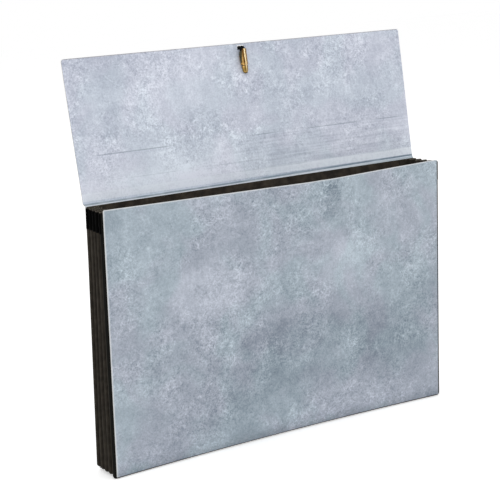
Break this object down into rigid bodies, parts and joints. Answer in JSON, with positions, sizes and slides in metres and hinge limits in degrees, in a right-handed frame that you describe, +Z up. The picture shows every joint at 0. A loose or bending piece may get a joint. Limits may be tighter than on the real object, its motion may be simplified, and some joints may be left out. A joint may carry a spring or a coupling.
{
  "type": "expanding wallet folder",
  "caption": "Legal-size expanding wallet folder: board front and back with a tall scored flap, pleated dark gusset on three sides, brass clip and elastic cord on the flap.",
  "frame": {"origin": "on the floor, under the middle of the box of everything but the cord", "axes": "+X along the width to the folder's right as seen from the front, +Y from the front panel to the back panel, +Z up"},
  "size_m": [0.3796, 0.079, 0.3663],
  "materials": {
    "front_board": "matt blue-grey pressboard with a marbled fibre pattern",
    "back_board": "matt pale blue-grey pressboard with a marbled fibre pattern",
    "lining_paper": "matt dark brown paper",
    "gusset_paper": "matt dark grey-brown fibrous paper",
    "gusset_tape": "smooth black binding tape",
    "clip_brass": "bright pressed brass",
    "cord_elastic": "black braided elastic"
  },
  "bodies": {
    "root": {"front_panel": "front_board", "back_panel_and_flap": "back_board", "back_lining": "lining_paper", "gusset": "gusset_paper", "gusset_tape_left": "gusset_tape", "gusset_tape_right": "gusset_tape", "cord_clip": "clip_brass", "elastic_cord": "cord_elastic"}
  },
  "joints": []
}
